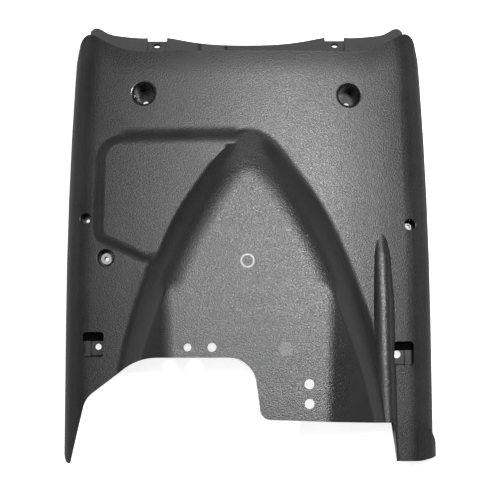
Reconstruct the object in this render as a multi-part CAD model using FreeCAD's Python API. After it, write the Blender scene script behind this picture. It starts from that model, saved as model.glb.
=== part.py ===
import FreeCAD
import Part
import math
import os
from FreeCAD import Vector

# Scooter spoiler: the moulded panel that closes the underside of the step-through floor.
# It lies on the rims of its two side flanges with its show face up. The front of the
# scooter is towards +Y, the right of the panel is +X, and all sizes are in millimetres.

# Skin
WALL = 2.5
CROWN_TOP = 46.0
CROWN_R = 650.0

# Sides
HALF_WIDTH = 165.6
SIDE_DRAFT = 3.0
ROLL_R = 30.0
TAPER_START_Y = -60.0
TAPER_R = 3750.0
TAPER_SPANS = 5
ROLL_LAP = 0.02

# Front edge, with one corner at each side that reaches forward
FRONT_EDGE_Y = 179.5
FRONT_BEND_X = HALF_WIDTH - 56.6
FRONT_BEND_R = 80.0
FRONT_CORNER_X = HALF_WIDTH - 15.8
FRONT_CORNER_Y = 203.6
FRONT_CORNER_R = 9.0
FRONT_SHOULDER_X = HALF_WIDTH - 4.3
FRONT_SHOULDER_Y = 162.0
FRONT_SHOULDER_R = 60.0

# Front lip, folded back from the front edge
LIP_ANGLE = 42.0
LIP_HALF = HALF_WIDTH - 23.8
LIP_X = -1.0
LIP_SET = 0.15
LIP_STATIONS = 40
LIP_REACH = [(0.0, 5.6), (0.28, 8.5), (0.42, 13.3), (0.52, 16.8), (0.66, 16.8), (0.815, 13.7),
             (0.89, 11.0), (0.955, 10.8), (1.0, 3.0)]

# Screw tabs of the lip
TAB_LEFT_X = -82.0
TAB_RIGHT_X = 78.8
TAB_WIDTH = 17.5
TAB_SINK = 2.2
TAB_REACH = 15.0
TAB_HOLE_R = 3.25
TAB_HOLE_REACH = 9.5

# Vault: the raised arch that clears the frame tubes, in plan from apex to rear
VAULT_TOP = 67.0
VAULT_TOP_Y = 70.0
VAULT_TILT = 1.0
VAULT_SLOPE = 48.0
VAULT_RIM_R = 10.0
VAULT_FOOT_R = 6.0
APEX_FOOT_Y = 108.0
APEX_RIM_Y = 74.0
LEFT_FOOT = [(-123.0, -230.0), (-119.5, -150.0), (-115.3, -108.5), (-102.8, -50.4),
             (-78.5, 10.2), (-56.6, 48.9), (-33.5, 85.3), (-17.0, 103.0)]
RIGHT_FOOT = [(17.0, 103.0), (34.0, 85.3), (58.0, 48.9), (80.5, 10.2),
              (105.0, -50.4), (119.5, -108.5), (126.0, -150.0), (136.0, -230.0)]
RIM = [(14.5, 67.5), (24.0, 56.5), (41.0, 29.0), (60.5, -3.5),
       (79.0, -58.5), (87.0, -113.0), (90.5, -153.0), (93.0, -232.0)]

# Flat facets that flank the rear of the vault's top
FACET_ANGLE = 27.0
FACET_HALF = 73.0
FACET_Y = -90.0
FACET_TAPER = 0.018
FACET_R = 16.0

# Plateau: the low raised field left of the vault
PLATEAU_RISE = 5.5
PLATEAU_SIDE = 50.0
PLATEAU_EDGE_R = 7.0
PLATEAU = [(-20.0, 104.0, 12.0), (-133.6, 105.1, 24.0), (-136.3, 10.6, 13.0),
           (-92.5, -8.8, 0.0), (-40.0, -8.8, 0.0)]

# Flute: the pointed rib along the right flank, as (y, crest x, rise, left run, right run)
FLUTE_CREST_R = 8.0
FLUTE = [(33.0, 116.8, 2.6, 0.55, 0.6), (15.0, 116.9, 8.0, 0.55, 0.6), (-4.0, 117.7, 12.4, 0.54, 0.6),
         (-47.0, 118.2, 16.2, 0.53, 0.6), (-101.0, 118.7, 16.2, 0.53, 0.6),
         (-151.0, 120.4, 14.0, 0.55, 0.62), (-231.0, 122.4, 9.0, 0.55, 0.65)]

# Rear cut-out, from the tip of the left leg to the end of the right leg
REAR_CUT = [(-167.6, -173.2, 0.0), (-162.4, -185.7, 3.5), (-158.2, -186.8, 1.5), (-144.1, -129.3, 22.0),
            (-97.2, -94.6, 55.0), (3.4, -94.9, 24.0), (10.2, -147.4, 9.0), (127.0, -151.6, 1.5),
            (129.4, -185.0, 4.0), (151.0, -185.3, 40.0), (168.5, -182.0, 0.0)]

# Screw cups, as centre x and y, and the posts in them, as radius and height
CUP_LEFT = (-93.2, 141.9)
CUP_RIGHT = (90.4, 139.8)
CUP_R = 9.4
CUP_FLOOR_Z = 9.0
CUP_HOLE_R = 2.9
CUP_HOLE_BACK = 3.4
CUP_RIM_R = 2.2
SIDE_CUP_LEFT = (20.4 - HALF_WIDTH, 30.2)
SIDE_CUP_RIGHT = (HALF_WIDTH - 21.0, 23.9)
SIDE_CUP_R = 4.9
SIDE_CUP_FLOOR_Z = 10.5
SIDE_CUP_HOLE_R = 1.8
SIDE_POST = (2.9, 3.5)
FIELD_CUP = (-126.7, -5.5)
FIELD_CUP_R = 7.5
FIELD_CUP_FLOOR_Z = 17.0
FIELD_CUP_HOLE_R = 2.1
FIELD_POST = (5.0, 7.0)
SMALL_RIM_R = 0.9
CUP_WALL = 2.0
CUP_FLOOR = 2.2
GUSSET_REACH = 14.0
GUSSET_WALL = 1.6

# Clip pockets on the side rolls, as left x, right x, rear y, front y
POCKET_LEFT = (18.7 - HALF_WIDTH, 37.6 - HALF_WIDTH, -93.3, -71.0)
POCKET_RIGHT = (HALF_WIDTH - 37.4, HALF_WIDTH - 19.4, -102.2, -80.3)
POCKET_FLOOR_Z = 14.0
POCKET_RAMP_Z = 24.5
POCKET_RAMP_RUN = 7.6
POCKET_REAR_RUN = 2.4
POCKET_STEP = 3.5
POCKET_STEP_WIDTH = 5.8
POCKET_CORNER_R = 3.2
POCKET_WALL = 2.0
POCKET_HOLE_LEFT = (31.0 - HALF_WIDTH, -83.6)
POCKET_HOLE_LEFT_R = 2.7
POCKET_HOLE_RIGHT = (HALF_WIDTH - 32.6, -91.4)
POCKET_HOLE_RIGHT_R = 3.4

# Bolt holes through the top of the vault, as x, y, radius
VAULT_HOLES = [(51.2, -117.6, 4.25), (51.2, -134.3, 4.25), (-52.5, -86.0, 3.25), (-31.7, -86.0, 3.75)]

# Right leg: a wall turned back along its inner edge, and a swelled end of its flange
LEG_WALL_FRONT = 27.0
LEG_WALL_END = 4.0
LEG_WALL_START_Y = -140.0
SWELL = 2.6
SWELL_X = 149.0
SWELL_Y = -157.5

# Tool marks on the vault's top: a date ring and an ejector mark
MARK_DEPTH = 0.4
DATE_RING = (-1.0, -11.6)
DATE_RING_R = 5.8
DATE_RING_WIDTH = 0.7
EJECTOR = (31.2, -87.5)
EJECTOR_R = 6.0

# Working room of the construction solids, past every face of the panel
ROOM_Y = 215.0
ROOM_X = 190.0
ROOM_Z = 90.0
BELOW = -20.0


def line(a, b):
    return Part.LineSegment(a, b).toShape()


def arc(a, b, c):
    return Part.Arc(a, b, c).toShape()


def tan(degrees):
    return math.tan(math.radians(degrees))


def cylinder(x, y, r, z_low, z_high):
    return Part.makeCylinder(r, z_high - z_low, Vector(x, y, z_low))


def box(x0, x1, y0, y1, z0, z1):
    return Part.makeBox(x1 - x0, y1 - y0, z1 - z0, Vector(x0, y0, z0))


def solid_of(shape):
    return max(shape.Solids, key=lambda s: s.Volume)


def crown_z(x, lift=0.0):
    """Height of the crowned skin over x."""
    r = CROWN_R + lift
    return CROWN_TOP - CROWN_R + math.sqrt(r * r - x * x)


def vault_top_z(y):
    return VAULT_TOP + (VAULT_TOP_Y - y) * tan(VAULT_TILT)


def side_x(y):
    """Half width of the panel's foot line: straight at the rear, then a long arc inwards."""
    if y <= TAPER_START_Y:
        return HALF_WIDTH
    return HALF_WIDTH - TAPER_R + math.sqrt(TAPER_R ** 2 - (y - TAPER_START_Y) ** 2)


def roll_centre(y, foot_shift=0.0):
    """Centre of a side roll at y, as distance from the middle and height."""
    draft = math.radians(SIDE_DRAFT)
    centre_z = CROWN_TOP - CROWN_R
    reach = CROWN_R + ROLL_LAP - ROLL_R
    a = side_x(y) + foot_shift - ROLL_R / math.cos(draft)
    t = math.tan(draft)
    half_b = t * a + centre_z
    root = half_b ** 2 - (1 + t * t) * (a * a + centre_z ** 2 - reach ** 2)
    z = (half_b + math.sqrt(root)) / (1 + t * t)
    return a - z * t, z


def skin_z(x, y):
    """Height of the skin over x and y, on the crown or on a side roll."""
    roll_x, roll_z = roll_centre(y)
    turn_x = roll_x * CROWN_R / (CROWN_R - ROLL_R)
    if abs(x) <= turn_x:
        return crown_z(x)
    return roll_z + math.sqrt(ROLL_R ** 2 - (abs(x) - roll_x) ** 2)


def rounded_wire(corners, z):
    """A closed outline through (x, y, radius) corners, each rounded by its radius."""
    count = len(corners)
    points = [Vector(c[0], c[1], z) for c in corners]
    turns = []
    for i in range(count):
        before, at, after = points[i - 1], points[i], points[(i + 1) % count]
        r = corners[i][2]
        if r == 0:
            turns.append((at, None, at))
            continue
        u = (before - at).normalize()
        v = (after - at).normalize()
        half = u.getAngle(v) / 2
        tangent = r / math.tan(half)
        middle = at + (u + v).normalize() * (r / math.sin(half) - r)
        turns.append((at + u * tangent, middle, at + v * tangent))
    edges = []
    for i in range(count):
        start, middle, end = turns[i]
        if middle is not None:
            edges.append(arc(start, middle, end))
        edges.append(line(end, turns[(i + 1) % count][0]))
    return Part.Wire(edges)


def prism(corners, z_low, z_high):
    face = Part.Face(rounded_wire(corners, z_low))
    return face.extrude(Vector(0, 0, z_high - z_low))


def grown(corners, distances):
    """Corners moved outwards, each by its own distance, with the radii following."""
    count = len(corners)
    result = []
    for i in range(count):
        before, at, after = corners[i - 1], corners[i], corners[(i + 1) % count]
        u = Vector(at[0] - before[0], at[1] - before[1], 0).normalize()
        v = Vector(after[0] - at[0], after[1] - at[1], 0).normalize()
        nu = Vector(u.y, -u.x, 0)
        nv = Vector(v.y, -v.x, 0)
        step = (nu + nv) * (distances[i] / (1 + nu.dot(nv)))
        r = 0.0
        if at[2] > 0:
            r = max(at[2] + distances[i], 1.0)
        result.append((at[0] + step.x, at[1] + step.y, r))
    return result


def crown_block(lift):
    """Everything under the crowned skin, or under a skin parallel to it."""
    y = -ROOM_Y - 5
    left = Vector(-ROOM_X, y, crown_z(ROOM_X, lift))
    top = Vector(0, y, crown_z(0, lift))
    right = Vector(ROOM_X, y, crown_z(ROOM_X, lift))
    low_right = Vector(ROOM_X, y, BELOW)
    low_left = Vector(-ROOM_X, y, BELOW)
    profile = Part.Wire([arc(left, top, right), line(right, low_right),
                         line(low_right, low_left), line(low_left, left)])
    return Part.Face(profile).extrude(Vector(0, 2 * ROOM_Y + 10, 0))


def side_section(y, inset, swell):
    """Cross-section at y of the drafted sides and rolls, open upwards between the rolls."""
    draft = math.radians(SIDE_DRAFT)
    outward = Vector(math.cos(draft), 0, math.sin(draft))
    foot = side_x(y) + swell - inset / math.cos(draft)
    r = ROLL_R - inset
    x, z = roll_centre(y, swell)
    centre = Vector(x, y, z)
    upward = Vector(x, 0, z - CROWN_TOP + CROWN_R).normalize()
    bottom = Vector(foot - BELOW * math.tan(draft), y, BELOW)
    side = centre + outward * r
    middle = centre + (outward + upward).normalize() * r
    crown = centre + upward * r
    top = Vector(crown.x, y, ROOM_Z)

    def mirrored(p):
        return Vector(-p.x, p.y, p.z)
    m = [mirrored(p) for p in (bottom, side, middle, crown, top)]
    return Part.Wire([line(bottom, side), arc(side, middle, crown), line(crown, top), line(top, m[4]),
                      line(m[4], m[3]), arc(m[3], m[2], m[1]), line(m[1], m[0]), line(m[0], bottom)])


def sides_form(inset, swell=0.0):
    """Drafted sides with the large rolls above them, ruled between cross-sections."""
    span = (ROOM_Y - TAPER_START_Y) / TAPER_SPANS
    stations = [-ROOM_Y] + [TAPER_START_Y + span * i for i in range(TAPER_SPANS + 1)]
    return Part.makeLoft([side_section(y, inset, swell) for y in stations], True, True)


def plateau_form(inset):
    """Low field parallel to the crown, with sloped sides and a rounded rim."""
    inward = inset * tan(PLATEAU_SIDE / 2)
    run = 1 / tan(PLATEAU_SIDE)
    low, high = crown_z(HALF_WIDTH) - WALL, CROWN_TOP + PLATEAU_RISE + 1
    corners = PLATEAU
    feet = [crown_z(c[0]) - inset for c in corners]
    sides = Part.makeLoft([
        rounded_wire(grown(corners, [(z - low) * run - inward for z in feet]), low),
        rounded_wire(grown(corners, [(z - high) * run - inward for z in feet]), high)], True, True)
    body = solid_of(sides.common(crown_block(PLATEAU_RISE - inset)))
    top = max(body.Faces, key=lambda f: f.BoundBox.ZMax if isinstance(f.Surface, Part.Cylinder) else 0)
    return body.makeFillet(PLATEAU_EDGE_R - inset, top.Edges)


def plateau_foot(body):
    """Edges where the plateau's sides meet the crown."""
    def on_crown(edge):
        start, end = edge.FirstParameter, edge.LastParameter
        points = [edge.valueAt(start + t * (end - start)) for t in (0.1, 0.5, 0.9)]
        inside = all(abs(p.x) < HALF_WIDTH and abs(p.y) < FRONT_EDGE_Y for p in points)
        return inside and all(abs(p.z - crown_z(p.x)) < 0.01 for p in points)
    return [e for e in body.Edges if on_crown(e)]


def vault_slopes(inset):
    """Prism of the vault's steep sides, ruled between its foot line and its rim line."""
    foot = LEFT_FOOT + [(0.0, APEX_FOOT_Y)] + RIGHT_FOOT
    rim = [(-x, y) for x, y in reversed(RIM)] + [(0.0, APEX_RIM_Y)] + RIM
    low, high = crown_z(HALF_WIDTH) - WALL, ROOM_Z
    low_points, high_points = [], []
    for i in range(len(foot)):
        a = foot[max(i - 1, 0)]
        b = foot[min(i + 1, len(foot) - 1)]
        inward = Vector(b[1] - a[1], a[0] - b[0], 0).normalize() * (inset * tan(VAULT_SLOPE / 2))
        start = Vector(foot[i][0], foot[i][1], crown_z(foot[i][0]) - inset) + inward
        end = Vector(rim[i][0], rim[i][1], vault_top_z(rim[i][1]) - inset) + inward
        rise = end - start
        low_points.append(start + rise * ((low - start.z) / rise.z))
        high_points.append(start + rise * ((high - start.z) / rise.z))
    wires = []
    for points in (low_points, high_points):
        curve = Part.BSplineCurve()
        curve.interpolate(points)
        wires.append(Part.Wire([curve.toShape(), line(points[-1], points[0])]))
    return Part.makeLoft(wires, True, True)


def vault_facets(inset):
    """Prism of the vault's flat top and of the gentler facets beside it."""
    half_turn = tan(FACET_ANGLE / 2)
    sin_a = math.sin(math.radians(FACET_ANGLE))
    cos_a = math.cos(math.radians(FACET_ANGLE))
    reach = ROOM_Z

    def section(y):
        z = vault_top_z(y) - inset
        rim = FACET_HALF + FACET_TAPER * (y - FACET_Y) - inset * half_turn
        r = FACET_R - inset
        tangent = r * half_turn
        gap = r * (1 / math.cos(math.radians(FACET_ANGLE / 2)) - 1)
        gap_x = gap * math.sin(math.radians(FACET_ANGLE / 2))
        gap_z = gap * math.cos(math.radians(FACET_ANGLE / 2))

        def side(s):
            return [Vector(s * (rim - tangent), y, z),
                    Vector(s * (rim - gap_x), y, z - gap_z),
                    Vector(s * (rim + tangent * cos_a), y, z - tangent * sin_a),
                    Vector(s * (rim + reach * cos_a), y, z - reach * sin_a),
                    Vector(s * (rim + reach * cos_a), y, BELOW)]
        a, b = side(-1), side(1)
        return Part.Wire([line(a[4], a[3]), line(a[3], a[2]), arc(a[2], a[1], a[0]), line(a[0], b[0]),
                          arc(b[0], b[1], b[2]), line(b[2], b[3]), line(b[3], b[4]), line(b[4], a[4])])

    return Part.makeLoft([section(-ROOM_Y - 8), section(APEX_FOOT_Y + ROOM_Z)], True, True)


def vault_form(inset):
    body = solid_of(vault_slopes(inset).common(vault_facets(inset)))
    slope = max(body.Faces, key=lambda f: f.BoundBox.YLength * f.BoundBox.ZLength)
    low = crown_z(HALF_WIDTH)

    def on_rim(edge):
        b = edge.BoundBox
        return b.ZMin > low and b.YLength > 1

    return body.makeFillet(VAULT_RIM_R - inset, [e for e in slope.Edges if on_rim(e)])


def vault_foot(body):
    """Edges where the vault's steep sides meet the crown and the plateau."""
    slope = max(body.Faces, key=lambda f: f.BoundBox.YLength * f.BoundBox.ZLength
                if isinstance(f.Surface, Part.BSplineSurface) and f.BoundBox.XLength > HALF_WIDTH else 0)

    def on_foot(edge):
        b = edge.BoundBox
        return b.ZMax < CROWN_TOP + PLATEAU_RISE + 0.01 and b.ZMin > crown_z(HALF_WIDTH) and b.YLength > 0.1

    return [e for e in slope.Edges if on_foot(e)]


def flute_form(inset):
    """Rounded rib lofted along the right flank, its tip sinking into the crown."""
    wires = []
    r = FLUTE_CREST_R - inset
    for y, x, rise, left_run, right_run in FLUTE:
        left, right = math.atan(left_run), math.atan(right_run)
        half = (left + right) / 2
        apex = crown_z(x) + rise - inset / math.sin(half)
        lean = (left - right) / 2
        drop = apex - BELOW
        top = Vector(x, y, apex)
        down_left = Vector(-math.sin(left), 0, -math.cos(left))
        down_right = Vector(math.sin(right), 0, -math.cos(right))
        tangent = r / math.tan(half)
        inner = Vector(-math.sin(lean), 0, -math.cos(lean)) * (r / math.sin(half) - r)
        low_left = top + down_left * (drop / math.cos(left))
        low_right = top + down_right * (drop / math.cos(right))
        a = top + down_left * tangent
        b = top + down_right * tangent
        wires.append(Part.Wire([line(low_left, a), arc(a, top + inner, b), line(b, low_right),
                                line(low_right, low_left)]))
    return Part.makeLoft(wires, True, True)


def outer_form():
    """The show face, as a body filled solid below it."""
    body = solid_of(crown_block(0).fuse(plateau_form(0)).removeSplitter())
    body = body.makeFillet(PLATEAU_EDGE_R, plateau_foot(body))
    body = solid_of(body.fuse(vault_form(0)).removeSplitter())
    body = body.makeFillet(VAULT_FOOT_R, vault_foot(body))
    body = solid_of(body.fuse(flute_form(0)).removeSplitter())
    return solid_of(body.common(sides_form(0)))


def inner_form():
    """The hidden face: the same forms, one wall further in."""
    body = crown_block(-WALL).fuse([plateau_form(WALL), vault_form(WALL), flute_form(WALL)])
    return solid_of(body.common(sides_form(WALL)))


def plan_outline():
    """What is kept in plan at the front edge and its two corners."""
    right = [(ROOM_X, -ROOM_Y, 0), (ROOM_X, FRONT_SHOULDER_Y - ROLL_R, 0),
             (FRONT_SHOULDER_X, FRONT_SHOULDER_Y, FRONT_SHOULDER_R),
             (FRONT_CORNER_X, FRONT_CORNER_Y, FRONT_CORNER_R),
             (FRONT_BEND_X, FRONT_EDGE_Y, FRONT_BEND_R)]
    left = [(-x, y, r) for x, y, r in reversed(right)]
    return prism(right + left, 0, ROOM_Z)


def rear_cut():
    ends = [(ROOM_X, REAR_CUT[-1][1], 0), (ROOM_X, -ROOM_Y - 10, 0),
            (-ROOM_X, -ROOM_Y - 10, 0), (-ROOM_X, REAR_CUT[0][1], 0)]
    return prism(REAR_CUT + ends, BELOW, ROOM_Z)


def front_y(x):
    """The front edge in plan: straight, then bent forward towards the corner."""
    slope = (FRONT_CORNER_Y - FRONT_EDGE_Y) / (FRONT_CORNER_X - FRONT_BEND_X)
    turn = math.atan(slope)
    start = FRONT_BEND_X - FRONT_BEND_R * math.tan(turn / 2)
    end = start + FRONT_BEND_R * math.sin(turn)
    if abs(x) < start:
        return FRONT_EDGE_Y
    if abs(x) < end:
        return FRONT_EDGE_Y + FRONT_BEND_R - math.sqrt(FRONT_BEND_R ** 2 - (abs(x) - start) ** 2)
    return FRONT_EDGE_Y + (abs(x) - FRONT_BEND_X) * slope


def lip_point(x, reach, sink):
    """A point so far past the crease and so far under the lip's face."""
    fold = math.radians(LIP_ANGLE)
    y = front_y(x) + reach - sink * math.sin(fold)
    z = skin_z(x, front_y(x)) - reach * math.tan(fold) - sink * math.cos(fold)
    return Vector(x, y, z)


def lip():
    """The folded-back lip, ruled between its root inside the front edge and its free edge."""
    shares = [(-t, reach) for t, reach in reversed(LIP_REACH)] + LIP_REACH[1:]
    steps = [2 * i / LIP_STATIONS - 1 for i in range(LIP_STATIONS + 1)]
    root, edge = Part.BSplineCurve(), Part.BSplineCurve()
    root.interpolate([lip_point(LIP_X + t * LIP_HALF, 0, LIP_SET) for t in steps])
    edge.interpolate([lip_point(LIP_X + t * LIP_HALF, reach, LIP_SET) for t, reach in shares])
    face = Part.makeRuledSurface(root.toShape(), edge.toShape())
    return face.extrude(lip_point(0, 0, WALL) - lip_point(0, 0, LIP_SET))


def slab(x, half, near, far, top, bottom):
    """A straight plate parallel to the lip, over a range of reach and of depth."""
    corners = [(near, top), (far, top), (far, bottom), (near, bottom)]
    points = [lip_point(x, reach, sink) - Vector(half, 0, 0) for reach, sink in corners]
    return Part.Face(Part.makePolygon(points + points[:1])).extrude(Vector(2 * half, 0, 0))


def tab_hole(x):
    start = lip_point(x, TAB_HOLE_REACH, -ROLL_R)
    way = lip_point(x, TAB_HOLE_REACH, ROLL_R) - start
    return Part.makeCylinder(TAB_HOLE_R, way.Length, start, way)


def lip_with_tabs():
    body = lip()
    for x in (TAB_LEFT_X, TAB_RIGHT_X):
        half = TAB_WIDTH / 2
        body = body.cut(slab(x, half, 0.4 * WALL, 3 * TAB_REACH, -ROLL_R, TAB_SINK))
        body = body.cut(slab(x, half, TAB_REACH, 3 * TAB_REACH, -ROLL_R, ROLL_R))
        body = body.fuse(slab(x, half, 0.0, TAB_REACH, TAB_SINK, TAB_SINK + WALL))
    return body


def cup_body(centre, r, floor_z):
    return cylinder(centre[0], centre[1], r + CUP_WALL, floor_z - CUP_FLOOR, ROOM_Z)


def cup_gussets(centre):
    """Four ribs that brace a deep cup against the underside of the skin."""
    ribs = []
    reach = CUP_R + CUP_WALL + GUSSET_REACH
    low = CUP_FLOOR_Z + GUSSET_REACH
    for turn in (0, 90, 180, 270):
        points = [Vector(0, 0, ROOM_Z), Vector(0, 0, CUP_FLOOR_Z), Vector(CUP_R + CUP_WALL, 0, CUP_FLOOR_Z),
                  Vector(reach, 0, low + GUSSET_REACH), Vector(reach, 0, ROOM_Z)]
        face = Part.Face(Part.makePolygon(points + points[:1]))
        rib = face.extrude(Vector(0, GUSSET_WALL, 0))
        rib.translate(Vector(0, -GUSSET_WALL / 2, 0))
        rib.rotate(Vector(0, 0, 0), Vector(0, 0, 1), turn)
        rib.translate(Vector(centre[0], centre[1], 0))
        ribs.append(rib)
    return ribs


def cup_bore(centre, r, floor_z, hole_r, back, post):
    """The hollow of a screw cup: its bore, less the post that stands in it, and its screw hole."""
    bore = cylinder(centre[0], centre[1], r, floor_z, ROOM_Z)
    top = floor_z + CUP_FLOOR
    if post:
        top += post[1]
        bore = bore.cut(cylinder(centre[0], centre[1], post[0], BELOW, floor_z + post[1]))
    return bore.fuse(cylinder(centre[0], centre[1] - back, hole_r, BELOW, top))


def pocket_form(bounds, grow):
    """A clip pocket with a ramp down from its front edge, or its housing when grown."""
    x0, x1, y0, y1 = bounds
    floor = POCKET_FLOOR_Z - grow
    profile = [(y0 + POCKET_REAR_RUN - grow, floor), (y1 - POCKET_RAMP_RUN + grow, floor),
               (y1 + grow, POCKET_RAMP_Z), (y1 + grow, ROOM_Z), (y0 - grow, ROOM_Z),
               (y0 - grow, POCKET_RAMP_Z)]
    points = [Vector(x0 - grow, y, z) for y, z in profile]
    body = Part.Face(Part.makePolygon(points + points[:1])).extrude(Vector(x1 - x0 + 2 * grow, 0, 0))
    r = POCKET_CORNER_R + grow
    corners = [(x0 - grow, y0 - grow, r), (x1 + grow, y0 - grow, r), (x1 + grow, y1 + grow, r),
               (x0 - grow, y1 + grow, r)]
    return body.common(prism(corners, BELOW, ROOM_Z))


def pocket_step(bounds, outboard):
    """The raised strip of a pocket's floor along its outboard wall."""
    x0, x1, y0, y1 = bounds
    if outboard < 0:
        x1 = x0 + POCKET_STEP_WIDTH
    else:
        x0 = x1 - POCKET_STEP_WIDTH
    return box(x0 - POCKET_WALL / 2, x1 + POCKET_WALL / 2 * (outboard > 0), y0 - POCKET_WALL / 2,
               y1 - POCKET_RAMP_RUN, POCKET_FLOOR_Z - POCKET_WALL / 2, POCKET_FLOOR_Z + POCKET_STEP)


def leg_wall(skin):
    """The wall turned back along the right leg's inner edge, tapering to the rear."""
    near, far = REAR_CUT[7], REAR_CUT[8]
    along = Vector(far[0] - near[0], far[1] - near[1], 0).normalize()
    across = Vector(-along.y, along.x, 0)
    start = Vector(near[0], near[1], 0) + along * ((LEG_WALL_START_Y - near[1]) / along.y)
    length = (Vector(far[0], far[1], 0) - start).Length
    top = crown_z(near[0])
    end = start + along * length
    points = [start + Vector(0, 0, ROOM_Z), start + Vector(0, 0, top - LEG_WALL_FRONT),
              end + Vector(0, 0, top - LEG_WALL_END), end + Vector(0, 0, ROOM_Z)]
    return Part.Face(Part.makePolygon(points + points[:1])).extrude(across * WALL).common(skin)


def swelled_end():
    """The right flange stands a little proud over its last stretch, after a slanted start."""
    start_x = HALF_WIDTH - 1.5 * SWELL
    slant_y = SWELL_Y - 2 * (ROOM_X - start_x)
    room = prism([(SWELL_X, -ROOM_Y, 0), (ROOM_X, -ROOM_Y, 0), (ROOM_X, slant_y, 0),
                  (start_x, SWELL_Y, 0), (SWELL_X, SWELL_Y, 0)], BELOW, ROOM_Z)
    hollow = crown_block(-WALL).common(sides_form(WALL))
    return crown_block(0).common(sides_form(0, SWELL)).cut(hollow).common(room)


def ring(centre, outer, width, z_low):
    full = cylinder(centre[0], centre[1], outer, z_low, ROOM_Z)
    return full.cut(cylinder(centre[0], centre[1], outer - width, z_low, ROOM_Z))


def tool_marks():
    date = ring(DATE_RING, DATE_RING_R, DATE_RING_WIDTH, vault_top_z(DATE_RING[1]) - MARK_DEPTH)
    ejector = cylinder(EJECTOR[0], EJECTOR[1], EJECTOR_R, vault_top_z(EJECTOR[1]) - MARK_DEPTH / 2, ROOM_Z)
    return [date, ejector]


def cup_rims(body, cups):
    """Edges of the given cups at the show face."""
    def on_rim(edge, cup):
        (x, y), r, floor_z = cup[:3]
        start, end = edge.FirstParameter, edge.LastParameter
        points = [edge.valueAt(start + t * (end - start)) for t in (0.0, 0.3, 0.7, 1.0)]
        round_it = all(abs(math.hypot(p.x - x, p.y - y) - r) < 0.01 for p in points)
        return round_it and edge.BoundBox.ZMin > floor_z + CUP_FLOOR
    return [e for e in body.Edges if any(on_rim(e, cup) for cup in cups)]


def spoiler_panel():
    skin = outer_form()
    body = skin.cut(inner_form()).fuse(swelled_end())
    body = body.common(plan_outline()).cut(rear_cut()).removeSplitter()
    deep = [(centre, CUP_R, CUP_FLOOR_Z, CUP_HOLE_R, CUP_HOLE_BACK, None)
            for centre in (CUP_LEFT, CUP_RIGHT)]
    small = [(centre, SIDE_CUP_R, SIDE_CUP_FLOOR_Z, SIDE_CUP_HOLE_R, 0.0, SIDE_POST)
             for centre in (SIDE_CUP_LEFT, SIDE_CUP_RIGHT)]
    small.append((FIELD_CUP, FIELD_CUP_R, FIELD_CUP_FLOOR_Z, FIELD_CUP_HOLE_R, 0.0, FIELD_POST))
    hidden = [rib for centre in (CUP_LEFT, CUP_RIGHT) for rib in cup_gussets(centre)]
    hidden += [pocket_form(bounds, POCKET_WALL) for bounds in (POCKET_LEFT, POCKET_RIGHT)]
    hidden += [cup_body(*cup[:3]) for cup in deep + small]
    under = skin.translated(Vector(0, 0, -WALL / 2))
    body = body.fuse([lip_with_tabs(), leg_wall(skin)] + [piece.common(under) for piece in hidden])
    cuts = [cup_bore(*cup) for cup in deep + small]
    cuts += [pocket_form(POCKET_LEFT, 0).cut(pocket_step(POCKET_LEFT, -1)),
             pocket_form(POCKET_RIGHT, 0).cut(pocket_step(POCKET_RIGHT, 1))]
    cuts += [cylinder(x, y, r, BELOW, ROOM_Z) for x, y, r in VAULT_HOLES]
    for (x, y), r in ((POCKET_HOLE_LEFT, POCKET_HOLE_LEFT_R), (POCKET_HOLE_RIGHT, POCKET_HOLE_RIGHT_R)):
        cuts.append(cylinder(x, y, r, BELOW, POCKET_FLOOR_Z + POCKET_WALL))
    cuts += [tab_hole(x) for x in (TAB_LEFT_X, TAB_RIGHT_X)]
    body = solid_of(body.cut(cuts + tool_marks()))
    body = body.makeFillet(CUP_RIM_R, cup_rims(body, deep))
    return body.makeFillet(SMALL_RIM_R, cup_rims(body, small))


def at_origin(shape):
    """The same shape with its origin at the bottom centre of its box."""
    b = shape.optimalBoundingBox()
    shape.translate(Vector(-b.Center.x, -b.Center.y, -b.ZMin))
    return shape


os.makedirs("parts", exist_ok=True)
panel = at_origin(spoiler_panel())
panel.exportStep("parts/spoiler_panel.step")
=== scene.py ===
"""Scooter spoiler: finish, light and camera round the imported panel."""

import math

import bpy
from mathutils import Matrix

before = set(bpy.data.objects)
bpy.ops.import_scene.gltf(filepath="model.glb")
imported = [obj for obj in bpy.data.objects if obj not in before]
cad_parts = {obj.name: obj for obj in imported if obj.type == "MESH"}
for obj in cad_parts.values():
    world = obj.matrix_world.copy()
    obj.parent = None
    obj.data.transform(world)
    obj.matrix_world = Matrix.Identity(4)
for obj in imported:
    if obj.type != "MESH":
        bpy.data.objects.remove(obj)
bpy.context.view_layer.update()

MM = 0.001

# Camera, in metres and in the panel's frame.
CAMERA_PLACE = (-0.00916, -0.12382, 1.13806)
CAMERA_RIGHT = (0.99996, -0.003993, 0.007957)
CAMERA_UP = (0.003148, 0.994631, 0.103439)
CAMERA_BACK = (-0.008327, -0.10347, 0.994604)
CAMERA_LENS = 90.0
CAMERA_SENSOR = 36.0
CAMERA_NEAR = 0.05
CAMERA_FAR = 20.0

# Light: a soft lamp above the panel, towards its front right corner, in metres.
KEY_PLACE = (0.252, 0.165, 1.2)
KEY_SIZE = 0.16
KEY_LEVEL = 1.2

# A weak broad lamp from the front left.
FILL_PLACE = (-0.3, 0.15, 1.2)
FILL_SIZE = 0.5
FILL_LEVEL = 0.33

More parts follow.
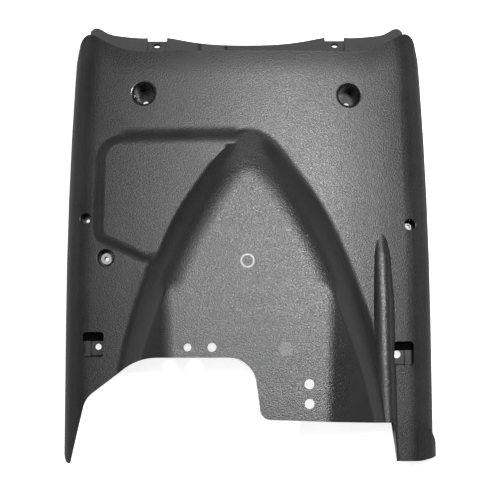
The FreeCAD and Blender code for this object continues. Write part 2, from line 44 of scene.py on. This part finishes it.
# Room and floor. The camera sees the room white, and the panel is lit by a dim grey one.
# A noise is given as the size of its spots in millimetres, its detail and its roughness.
WORLD_LEVEL = 0.125
FLOOR_SIZE = 8.0
FLOOR_Z = -0.4 * MM
FLOOR_GLOW = 0.86
PAPER_WHITE = (0.82, 0.82, 0.82, 1.0)
PAPER_ROUGH = 0.9
PAPER_FIBRE = (6.0, 2.0, 0.5)
WHITE = (1.0, 1.0, 1.0, 1.0)
BLACK = (0.0, 0.0, 0.0, 1.0)

# Plastic: its colours, with the painted shade of its hollows and a painted highlight on a post,
# its gloss and its grain, whose depth is in millimetres.
PLASTIC_BLACK = (0.009, 0.009, 0.0094, 1.0)
PLASTIC_DULLED = (0.0125, 0.0125, 0.013, 1.0)
# Painted shade: a darker black for the plastic in the hollows, standing in for the shade there.
HOLLOW_PAINTED_SHADE = (0.005, 0.005, 0.005, 1.0)
# Painted highlight: a grey for the sheen on the polished top of the post.
POST_PAINTED_HIGHLIGHT = (0.16, 0.16, 0.16, 1.0)
RING_GREY = (0.34, 0.34, 0.34, 1.0)
MARK_GREY = (0.09, 0.09, 0.09, 1.0)
MARK_SHARE = 0.65
PLASTIC_IOR = 1.5
SPECULAR_LEVEL = 0.62
# The painted shade's plastic: its weak reflection, its gloss, and how much of it the hollows get.
HOLLOW_SHADE_SPECULAR = 0.15
HOLLOW_SHADE_ROUGH = 0.25
HOLLOW_SHADE_SHARE = 0.96
GRAIN = (1.2, 2.0, 0.65)
PITS = (0.7, 1.0, 0.5)
PIT_SHARE = 0.35
CLOUD = (45.0, 3.0, 0.55)
CLOUD_SPAN = (0.35, 0.7)
NOISE_MIDDLE = 0.5
GRAIN_DEPTH = 0.33
VAULT_GRAIN = 0.5
SUNK_GRAIN_CUT = 0.95
RIM_GRAIN_CUT = 0.8
ROUGH = 0.41
GRAIN_SHEEN = 0.5
DULL_ROUGH = 0.03
VAULT_GLOSS = 0.045
HOLLOW_GLOSS = 0.12
RIM_GLOSS = 0.16

# Normals: how near loose faces are joined, which corners stay, and how far broad faces lead.
JOIN_GAP = 0.001 * MM
CORNER_ANGLE = math.radians(30.0)
BROAD_FACE_WEIGHT = 90

# Places of the cups and mould marks in plan, and their radii, in millimetres.
FRONT_CUPS = [(-93.2, 131.88), (90.4, 129.78)]
CUP_RIM = (9.0, 11.6)
SIDE_CUPS = [(-145.2, 20.18), (144.6, 13.88)]
SIDE_CUP_R = 5.0
FIELD_POST = (-126.7, -15.52)
FIELD_POST_R = 5.0
DATE_RING = (-1.0, -21.62)
DATE_RING_RADII = (4.7, 6.1)
EJECTOR = (31.2, -97.5)
EJECTOR_R = 6.0
DISC_SOFT = 0.25

# Where the plastic changes. Here and in the shapes below, a pair of a height, a place or a
# direction gives the values at which a mask is 0 and 1. FACING and UP are the upward part of
# the direction that the skin faces, and OUT is its sideways part.
SUNK_RISE = (-1.2, -3.0)
SUNK_PAST_ROLL = (14.5, 10.5)
SUNK_FRONT_Y = (167.0, 164.0)
SIDE_CUP_RISE = (-2.0, -3.5)
POST_TOP_Z = (23.0, 23.8)
VAULT_TOP_Z = (61.0, 66.0)
VAULT_TOP_DEPTH = (1.5, 1.0)

# Shapes of the panel that its shading follows, in millimetres and in its own frame.
MIDDLE_X = -1.3
CROWN_R = 650.0
CROWN_DROP = 46.0 - CROWN_R
VAULT_FRONT_TOP = 68.05
VAULT_TILT = 0.01746
VAULT_SLOPE = math.radians(48.0)

# Foot of the vault and edge of the plateau: the solid's blends, and the softer ones shaded.
VAULT_FOOT_R = 6.0
SOFT_FOOT_R = 12.0
FOOT_RISE = (0.02, 0.2)
FOOT_FACING = (0.3, 0.5)
PLATEAU_FOOT_X = (2.0, -12.0)
PLATEAU_FOOT_Y = (-32.0, -22.0)
FLUTE_FOOT_X = (108.0, 100.0)
EDGE_CUT = 0.38
EDGE_RISE = (0.05, 0.3)
EDGE_TOP_RISE = (5.48, 5.2)
EDGE_X = (-22.0, -30.0)
EDGE_REAR_Y = (-26.0, -22.0)
EDGE_FRONT_Y = (102.0, 99.0)
SKIN_FACING = (0.4, 0.6)

# Rim of the vault: a straight line at the front and one at the rear of each side, as a
# point and the direction outwards, and the apex between them.
SOFT_RIM_R = 35.0
RIM_SET = 14.0
RIM_LINES = [(24.0, 46.5, 0.8544, 0.52), (60.5, -13.5, 0.9478, 0.3188)]
LINE_SOFT = 6.0
REAR_LINE = (-6.0, 6.0)
RIM_MOST = 0.72
APEX_START = 53.0
APEX_MOST = 0.27
APEX_ACROSS = (46.0, 4.0)
RIM_RUN = (-0.5, 0.5)
RIM_END = (20.0, 27.0)
RIM_END_ACROSS = (8.0, 22.0)
RIM_REAR_Y = (-52.0, -38.0)
RIM_RISE = (0.5, 2.5)
RIM_Z = (46.0, 49.0)
RIM_FACING = (0.1, 0.3)

# Valley between the plateau's front corner and the vault.
VALLEY_LEFT_X = (-46.0, -40.0)
VALLEY_RIGHT_X = (-17.0, -22.0)
VALLEY_Y = (64.0, 72.0)
VALLEY_RISE = (6.6, 5.7)

# Band along the plateau's front edge.
BAND_Y = 92.7
BAND_HALF = 10.0
BAND_TILT = 0.42
BAND_LEFT_X = (-120.0, -104.0)
BAND_RIGHT_X = (-6.0, -14.0)
BAND_RISE = (7.5, 6.0)
BAND_OFF = (1.0, 0.85)

# Side rolls, whose axes come in towards the front.
TAPER_START = -70.0
TAPER_R = 3750.0
ROLL_X = 135.55
ROLL_R = 30.0
ROLL_START = (7.63, 7.65)
ROLL_SOFT = 0.09
ROLL_FACING = (0.35, 0.6)
ROLL_LIFT = 0.19
STEEP_OUT = (0.5, 0.8)
STEEP_UP = (-0.1, 0.05)
STEEP_Z = (2.0, 9.0)
STEEP_ACROSS = (138.0, 142.0)

# Facets that flank the rear of the vault's top.
FACET_X = 66.8
FACET_TAPER = 0.036
FACET_SOFT_R = 24.0
FACET_ANGLE = math.radians(27.0)
FACET_Y = (-20.0, -50.0)
FACET_DEPTH = (3.0, 1.5)
FACET_RISE = (8.0, 12.0)
FACET_FACING = (0.8, 0.88)

# Front edge, before which the skin rolls down a little.
FRONT_Y = 169.5
FRONT_BEND_X = 109.0
FRONT_BEND = 0.59
FRONT_ROLL_RUN = 28.0
FRONT_ROLL = 0.115
FRONT_FACING = (0.86, 0.93)


class Wire:
    """A socket that carries a number, with the arithmetic written as Python."""

    def __init__(self, finish, socket):
        self.finish = finish
        self.socket = socket

    def math(self, operation, *others):
        return self.finish.add("ShaderNodeMath", {"operation": operation}, self, *others)

    def __add__(self, other):
        return self.math("ADD", other)

    __radd__ = __add__

    def __sub__(self, other):
        return self.math("SUBTRACT", other)

    def __rsub__(self, other):
        return self.finish.add("ShaderNodeMath", {"operation": "SUBTRACT"}, other, self)

    def __mul__(self, other):
        return self.math("MULTIPLY", other)

    __rmul__ = __mul__

    def __truediv__(self, other):
        return self.math("DIVIDE", other)

    def __pow__(self, other):
        return self.math("POWER", other)

    def __abs__(self):
        return self.math("ABSOLUTE")

    def least(self, other):
        return self.math("MINIMUM", other)

    def most(self, other):
        return self.math("MAXIMUM", other)


class Finish:
    """A node material, built up one node at a time."""

    def __init__(self, name):
        self.material = bpy.data.materials.new(name)
        self.material.use_nodes = True
        self.tree = self.material.node_tree
        self.tree.nodes.clear()

    def put(self, socket, value):
        """Links a wire to a socket, or sets a number or colour on it."""
        if isinstance(value, Wire):
            self.tree.links.new(value.socket, socket)
        else:
            socket.default_value = value

    def add(self, kind, settings=None, *values, out=0, **named):
        node = self.tree.nodes.new(kind)
        for key, value in (settings or {}).items():
            setattr(node, key, value)
        for socket, value in zip(node.inputs, values):
            self.put(socket, value)
        for key, value in named.items():
            self.put(node.inputs[key.replace("_", " ")], value)
        return Wire(self, node.outputs[out])

    def coords(self):
        """Object coordinates, in metres."""
        return self.add("ShaderNodeTexCoord", out="Object")

    def facing(self):
        """The direction the mesh faces."""
        return self.add("ShaderNodeNewGeometry", out="Normal")

    def split(self, vector):
        parts = self.add("ShaderNodeSeparateXYZ", None, vector)
        return [Wire(self, parts.socket.node.outputs[i]) for i in range(3)]

    def direction(self, parts):
        vector = self.add("ShaderNodeCombineXYZ", None, *parts)
        return self.add("ShaderNodeVectorMath", {"operation": "NORMALIZE"}, vector)

    def noise(self, coords, size_mm, detail, rough):
        return self.add("ShaderNodeTexNoise", {"noise_dimensions": "3D"}, Vector=coords,
                        Scale=1.0 / (size_mm * MM), Detail=detail, Roughness=rough)

    def step(self, value, low, high):
        """0 at low, 1 at high, smooth between, with low under or over high."""
        settings = {"interpolation_type": "SMOOTHSTEP", "clamp": True}
        return self.add("ShaderNodeMapRange", settings, value, low, high, 0.0, 1.0)

    def between(self, mask, first, second):
        """Colour that goes from first to second as mask goes from 0 to 1."""
        node = self.tree.nodes.new("ShaderNodeMix")
        node.data_type = "RGBA"
        self.put(node.inputs[0], mask)
        self.put(node.inputs[6], first)
        self.put(node.inputs[7], second)
        return Wire(self, node.outputs[2])

    def finish(self, surface):
        output = self.tree.nodes.new("ShaderNodeOutputMaterial")
        self.tree.links.new(surface.socket, output.inputs["Surface"])
        return self.material


class Spot:
    """A point of the panel in millimetres, and how it lies to the crown and the vault."""

    def __init__(self, finish, coords):
        x, y, z = [part / MM for part in finish.split(coords)]
        self.x, self.y, self.z = x - MIDDLE_X, y, z
        self.side = self.x.math("SIGN")
        self.across = abs(self.x)
        self.rise = z - (CROWN_DROP + (CROWN_R ** 2 - self.x * self.x) ** 0.5)
        self.depth = VAULT_FRONT_TOP - VAULT_TILT * y - z
        taper = (y - TAPER_START).most(0.0)
        self.past_roll = self.across - (ROLL_X - taper * taper / (2 * TAPER_R))


def pulled(facing, target, share):
    """A direction, moved by a share of the way to a target."""
    return [one + (other - one) * share for one, other in zip(facing, target)]


def soft_most(one, other, softness):
    """The greater of two values, rounded where they cross."""
    gap = one - other
    return (one + other + (gap * gap + softness ** 2) ** 0.5) * 0.5


def crown_direction(at):
    """Direction of the crowned skin, which turns only across the panel."""
    return at.x / CROWN_R, 0, 1


def foot_turn(rise):
    """How far the vault's foot turns at a height, as a share of the solid's turn there."""
    arc_rise = VAULT_FOOT_R * (1 - math.cos(VAULT_SLOPE))
    in_arc = rise.most(0.0).least(arc_rise)
    arc_run = (in_arc * (2 * VAULT_FOOT_R) - in_arc * in_arc) ** 0.5
    run = arc_run + (rise - arc_rise).most(0.0) / math.tan(VAULT_SLOPE)
    share = run / (SOFT_FOOT_R * math.sin(VAULT_SLOPE))
    return share.most(VAULT_FOOT_R / SOFT_FOOT_R).least(1.0)


def soften_foot(f, at, facing):
    """Wider blends at the vault's foot and the plateau's edge."""
    up = facing[2]
    by_plateau = f.step(at.x, *PLATEAU_FOOT_X) * f.step(at.y, *PLATEAU_FOOT_Y)
    on_foot = f.step(at.rise, *FOOT_RISE) * (1 - by_plateau) * f.step(at.x, *FLUTE_FOOT_X)
    foot_cut = (1 - foot_turn(at.rise)) * on_foot * f.step(up, *FOOT_FACING)
    on_edge = f.step(at.rise, *EDGE_RISE) * f.step(at.rise, *EDGE_TOP_RISE)
    on_edge = on_edge * f.step(at.x, *EDGE_X) * f.step(at.y, *EDGE_REAR_Y)
    on_edge = on_edge * f.step(at.y, *EDGE_FRONT_Y) * f.step(up, *SKIN_FACING)
    return pulled(facing, crown_direction(at), foot_cut.most(on_edge * EDGE_CUT))


def soften_rim(f, at, facing):
    """A wider blend along the vault's rim and round its apex."""
    front, rear = [RIM_SET - (px - at.across) * lx - (py - at.y) * ly
                   for px, py, lx, ly in RIM_LINES]
    on_apex = f.step(at.across, *APEX_ACROSS)
    on_rear = f.step(rear - front, *REAR_LINE)
    run = soft_most(soft_most(front, rear, LINE_SOFT), at.y - APEX_START, LINE_SOFT)
    (_, _, front_x, front_y), (_, _, rear_x, rear_y) = RIM_LINES
    turn_x = (front_x + (rear_x - front_x) * on_rear) * (1 - on_apex)
    turn_y = front_y + (rear_y - front_y) * on_rear
    turn_y = turn_y + (1 - turn_y) * on_apex
    tilt = (run / SOFT_RIM_R).most(0.0).least(RIM_MOST + (APEX_MOST - RIM_MOST) * on_apex)
    beyond = f.step(run, *RIM_END) * f.step(at.across, *RIM_END_ACROSS)
    on_rim = f.step(run, *RIM_RUN) * (1 - beyond) * f.step(at.y, *RIM_REAR_Y)
    on_rim = on_rim * f.step(at.rise, *RIM_RISE) * f.step(at.z, *RIM_Z)
    on_rim = on_rim * f.step(facing[2], *RIM_FACING)
    rim = (turn_x * at.side * tilt, turn_y * tilt, (1 - tilt * tilt) ** 0.5)
    return pulled(facing, rim, on_rim)


def level_valley(f, at, facing):
    """Takes the sharp fold out between the plateau's front corner and the vault."""
    in_valley = f.step(at.x, *VALLEY_LEFT_X) * f.step(at.x, *VALLEY_RIGHT_X)
    in_valley = in_valley * f.step(at.y, *VALLEY_Y) * f.step(at.rise, *VALLEY_RISE)
    return pulled(facing, crown_direction(at), in_valley * f.step(facing[2], *SKIN_FACING))


def lean_band(f, at, facing):
    """One even slope along the plateau's front edge."""
    off = abs((at.y - BAND_Y) / BAND_HALF).least(1.0)
    bell = 1 - off * off
    in_band = f.step(at.x, *BAND_LEFT_X) * f.step(at.x, *BAND_RIGHT_X)
    in_band = in_band * f.step(at.rise, *BAND_RISE) * f.step(off, *BAND_OFF)
    slope = (at.x / CROWN_R, bell * bell * BAND_TILT, 1)
    return pulled(facing, slope, in_band * f.step(facing[2], *SKIN_FACING))


def soften_rolls(f, at, facing):
    """A gradual start of the side rolls, and a direction nearer up on their steep outer part."""
    nx, ny, nz = facing
    on_crown, on_roll = at.across / CROWN_R, at.past_roll / ROLL_R
    hard = on_crown + (on_roll - on_crown) * f.step(at.past_roll, *ROLL_START)
    soft = soft_most(on_crown, on_roll, ROLL_SOFT)
    nx = nx + at.side * (soft - hard) * f.step(nz, *ROLL_FACING)
    steep = f.step(nx * at.side, *STEEP_OUT) * f.step(nz, *STEEP_UP)
    steep = steep * f.step(at.z, *STEEP_Z) * f.step(at.across, *STEEP_ACROSS)
    nx = nx - at.side * steep * ROLL_LIFT
    nz = nz + ((1 - nx * nx).most(0.0) ** 0.5 - nz) * steep
    return nx, ny, nz


def soften_facets(f, at, facing):
    """A wider blend between the vault's top and the facets beside it."""
    nx, ny, nz = facing
    run = at.across - (FACET_X + FACET_TAPER * at.y)
    turn = (run / FACET_SOFT_R).most(0.0).least(math.sin(FACET_ANGLE))
    on_top = f.step(at.y, *FACET_Y) * f.step(at.depth, *FACET_DEPTH)
    on_top = on_top * f.step(at.rise, *FACET_RISE) * f.step(nz, *FACET_FACING)
    return nx + at.side * (turn - nx * at.side).most(0.0) * on_top, ny, nz


def roll_front(f, at, facing):
    """A slight roll-down of the skin before the front edge."""
    nx, ny, nz = facing
    edge_y = FRONT_Y + (at.across - FRONT_BEND_X).most(0.0) * FRONT_BEND
    turn = f.step(at.y, edge_y - FRONT_ROLL_RUN, edge_y) * FRONT_ROLL
    return nx, ny + turn * f.step(nz, *FRONT_FACING), nz


def blended_direction(f, at):
    """Surface direction with softer blends than the solid's fillets give."""
    facing = f.split(f.facing())
    for change in (soften_foot, soften_rim, level_valley, lean_band,
                   soften_rolls, soften_facets, roll_front):
        facing = change(f, at, facing)
    return f.direction(facing)


def disc(f, at, centre, radius):
    """1 inside a circle in plan, 0 outside it."""
    dx, dy = at.x - centre[0], at.y - centre[1]
    return f.step((dx * dx + dy * dy) ** 0.5, radius + DISC_SOFT, radius - DISC_SOFT)


def ring(f, at, centre, radii):
    """1 between two circles in plan, 0 elsewhere."""
    inner, outer = radii
    return disc(f, at, centre, outer) * (1 - disc(f, at, centre, inner))


def sunk_mask(f, at):
    """1 where the panel lies well below its crowned skin, other than on the rolls and the lip."""
    sunk = f.step(at.rise, *SUNK_RISE) * f.step(at.past_roll, *SUNK_PAST_ROLL)
    return sunk * f.step(at.y, *SUNK_FRONT_Y)


def panel_plastic():
    """Grained black plastic, smoother in its hollows and darkened there with painted shade, with
    a painted highlight on the post's top and with its mould marks.
    """
    f = Finish("panel_plastic")
    coords = f.coords()
    at = Spot(f, coords)
    grain = f.noise(coords, *GRAIN)
    pits = f.noise(coords, *PITS)
    dull = f.step(f.noise(coords, *CLOUD), *CLOUD_SPAN)

    on_vault = f.step(at.z, *VAULT_TOP_Z)
    on_top = f.step(at.depth, *VAULT_TOP_DEPTH)
    post = disc(f, at, FIELD_POST, FIELD_POST_R) * f.step(at.z, *POST_TOP_Z)
    date_ring = ring(f, at, DATE_RING, DATE_RING_RADII) * on_top
    ejector = disc(f, at, EJECTOR, EJECTOR_R) * on_top
    rims = ring(f, at, FRONT_CUPS[0], CUP_RIM) + ring(f, at, FRONT_CUPS[1], CUP_RIM)
    sunk = sunk_mask(f, at)
    side_cups = disc(f, at, SIDE_CUPS[0], SIDE_CUP_R) + disc(f, at, SIDE_CUPS[1], SIDE_CUP_R)
    side_cups = side_cups * f.step(at.rise, *SIDE_CUP_RISE)
    # Hollows: smoother plastic there, and the painted shade below.
    hollow = sunk.most(side_cups) * (1 - post)

    colour = f.between(dull, PLASTIC_BLACK, PLASTIC_DULLED)
    # Painted highlight on the post's polished top.
    colour = f.between(post, colour, POST_PAINTED_HIGHLIGHT)
    colour = f.between(date_ring, colour, RING_GREY)
    colour = f.between(ejector * MARK_SHARE, colour, MARK_GREY)

    height = grain * (1 - PIT_SHARE) + pits * PIT_SHARE
    height = height * (1 + VAULT_GRAIN * on_vault) * (1 - SUNK_GRAIN_CUT * sunk)
    height = height * (1 - RIM_GRAIN_CUT * rims)
    bump = f.add("ShaderNodeBump", None, Strength=1.0, Distance=GRAIN_DEPTH * MM,
                 Height=height, Normal=blended_direction(f, at))

    rough = ROUGH + DULL_ROUGH * dull + (grain - NOISE_MIDDLE) * GRAIN_SHEEN
    rough = rough - VAULT_GLOSS * on_vault - HOLLOW_GLOSS * hollow - RIM_GLOSS * rims
    surface = f.add("ShaderNodeBsdfPrincipled", None, Base_Color=colour, Roughness=rough,
                    Specular_IOR_Level=SPECULAR_LEVEL, IOR=PLASTIC_IOR, Normal=bump)
    # Painted shade: a darker, weakly reflecting plastic mixed into the hollows.
    painted_shade = f.add("ShaderNodeBsdfPrincipled", None, Base_Color=HOLLOW_PAINTED_SHADE, Roughness=HOLLOW_SHADE_ROUGH,
                 Specular_IOR_Level=HOLLOW_SHADE_SPECULAR, IOR=PLASTIC_IOR)
    return f.finish(f.add("ShaderNodeMixShader", None, hollow * HOLLOW_SHADE_SHARE, surface, painted_shade))


def studio_floor():
    """White paper that takes the panel's shadow and that the camera sees a little brighter."""
    bpy.ops.object.select_all(action="DESELECT")
    bpy.ops.mesh.primitive_plane_add(size=FLOOR_SIZE, location=(0, 0, FLOOR_Z))
    floor = bpy.context.object
    floor.name = "studio_floor"
    f = Finish("white_paper")
    fibre = f.noise(f.coords(), *PAPER_FIBRE)
    paper = f.add("ShaderNodeBsdfDiffuse", None, PAPER_WHITE,
                  PAPER_ROUGH + (1 - PAPER_ROUGH) * fibre)
    glow = f.add("ShaderNodeEmission", None, WHITE, FLOOR_GLOW)
    nothing = f.add("ShaderNodeBsdfTransparent", None, BLACK)
    seen = f.add("ShaderNodeLightPath", out="Is Camera Ray")
    shown = f.add("ShaderNodeMixShader", None, seen, nothing, glow)
    both = f.add("ShaderNodeAddShader", None, paper, shown)
    floor.data.materials.append(f.finish(both))


def studio_world():
    """A dim even room for the panel, which the camera sees white."""
    world = bpy.data.worlds.new("studio")
    bpy.context.scene.world = world
    world.use_nodes = True
    tree = world.node_tree
    tree.nodes.clear()
    seen = tree.nodes.new("ShaderNodeLightPath")
    plain = tree.nodes.new("ShaderNodeBackground")
    plain.inputs["Strength"].default_value = WORLD_LEVEL
    white = tree.nodes.new("ShaderNodeBackground")
    white.inputs["Color"].default_value = WHITE
    white.inputs["Strength"].default_value = 1.0
    mix = tree.nodes.new("ShaderNodeMixShader")
    out = tree.nodes.new("ShaderNodeOutputWorld")
    tree.links.new(seen.outputs["Is Camera Ray"], mix.inputs[0])
    tree.links.new(plain.outputs[0], mix.inputs[1])
    tree.links.new(white.outputs[0], mix.inputs[2])
    tree.links.new(mix.outputs[0], out.inputs["Surface"])


def lamp(name, place, size, level):
    """A disc lamp that aims at the panel's middle and lights a white sheet there to level."""
    data = bpy.data.lights.new(name, "AREA")
    data.shape = "DISK"
    data.size = size
    lit = bpy.data.objects.new(name, data)
    bpy.context.scene.collection.objects.link(lit)
    lit.location = place
    lit.rotation_mode = "QUATERNION"
    lit.rotation_quaternion = lit.location.normalized().to_track_quat("Z", "Y")
    far = lit.location.length
    data.energy = level * math.pi ** 2 * far ** 2


def photo_camera():
    data = bpy.data.cameras.new("photo_camera")
    data.lens = CAMERA_LENS
    data.sensor_width = CAMERA_SENSOR
    data.clip_start, data.clip_end = CAMERA_NEAR, CAMERA_FAR
    camera = bpy.data.objects.new("photo_camera", data)
    bpy.context.scene.collection.objects.link(camera)
    turn = Matrix((CAMERA_RIGHT, CAMERA_UP, CAMERA_BACK)).transposed()
    camera.matrix_world = Matrix.Translation(CAMERA_PLACE) @ turn.to_4x4()
    bpy.context.scene.camera = camera


def even_normals(panel):
    """Joins the loose faces, and lets broad faces set the direction of the blends beside them."""
    joined = panel.modifiers.new("joined_faces", "WELD")
    joined.merge_threshold = JOIN_GAP
    corners = panel.modifiers.new("kept_corners", "EDGE_SPLIT")
    corners.split_angle = CORNER_ANGLE
    corners.use_edge_sharp = False
    evened = panel.modifiers.new("even_normals", "WEIGHTED_NORMAL")
    evened.mode = "FACE_AREA"
    evened.weight = BROAD_FACE_WEIGHT
    evened.keep_sharp = False


def dress_panel():
    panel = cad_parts["spoiler_panel"]
    even_normals(panel)
    panel.data.materials.clear()
    panel.data.materials.append(panel_plastic())


dress_panel()
studio_floor()
studio_world()
lamp("key_lamp", KEY_PLACE, KEY_SIZE, KEY_LEVEL)
lamp("fill_lamp", FILL_PLACE, FILL_SIZE, FILL_LEVEL)
photo_camera()

scene = bpy.context.scene
scene.view_settings.view_transform = "Standard"
